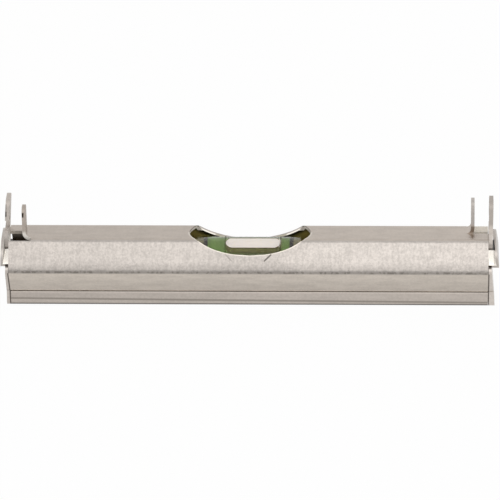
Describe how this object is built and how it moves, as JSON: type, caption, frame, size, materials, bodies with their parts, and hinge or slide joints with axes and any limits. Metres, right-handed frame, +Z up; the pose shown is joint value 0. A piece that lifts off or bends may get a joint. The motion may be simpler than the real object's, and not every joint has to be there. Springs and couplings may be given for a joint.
{
  "type": "line level",
  "caption": "Folded hexagonal sheet-metal line level with a windowed bubble vial, a flat base channel, and string hooks with folded tongues at its ends.",
  "frame": {"origin": "middle of the flat underside of the base channel", "axes": "+X along the tube to the right end, -Y to the front, +Z up"},
  "size_m": [0.0792, 0.0104, 0.0185],
  "materials": {
    "tube_sheet": "satin plated sheet",
    "base_sheet": "satin plated sheet",
    "end_sheet": "satin plated sheet",
    "vial_clear": "clear",
    "vial_plug": "dull",
    "vial_fluid": "clear green",
    "bubble": "clear",
    "gauge_paint": "thin paint",
    "putty": "dull"
  },
  "bodies": {
    "level": {"body_tube": "tube_sheet", "base_channel": "base_sheet", "left_end_plate": "end_sheet", "right_end_plate": "end_sheet", "left_string_hook": "end_sheet", "right_string_hook": "end_sheet", "vial_barrel": "vial_clear", "left_vial_plug": "vial_plug", "right_vial_plug": "vial_plug", "vial_fluid": "vial_fluid", "gauge_lines": "gauge_paint", "vial_bed": "putty"},
    "bubble": {"bubble": "bubble"}
  },
  "joints": [
    {"name": "bubble_travel", "type": "slide", "parent": "level", "child": "bubble", "axis": [1, 0, 0], "range_m": [-0.0027, 0.0013]}
  ]
}
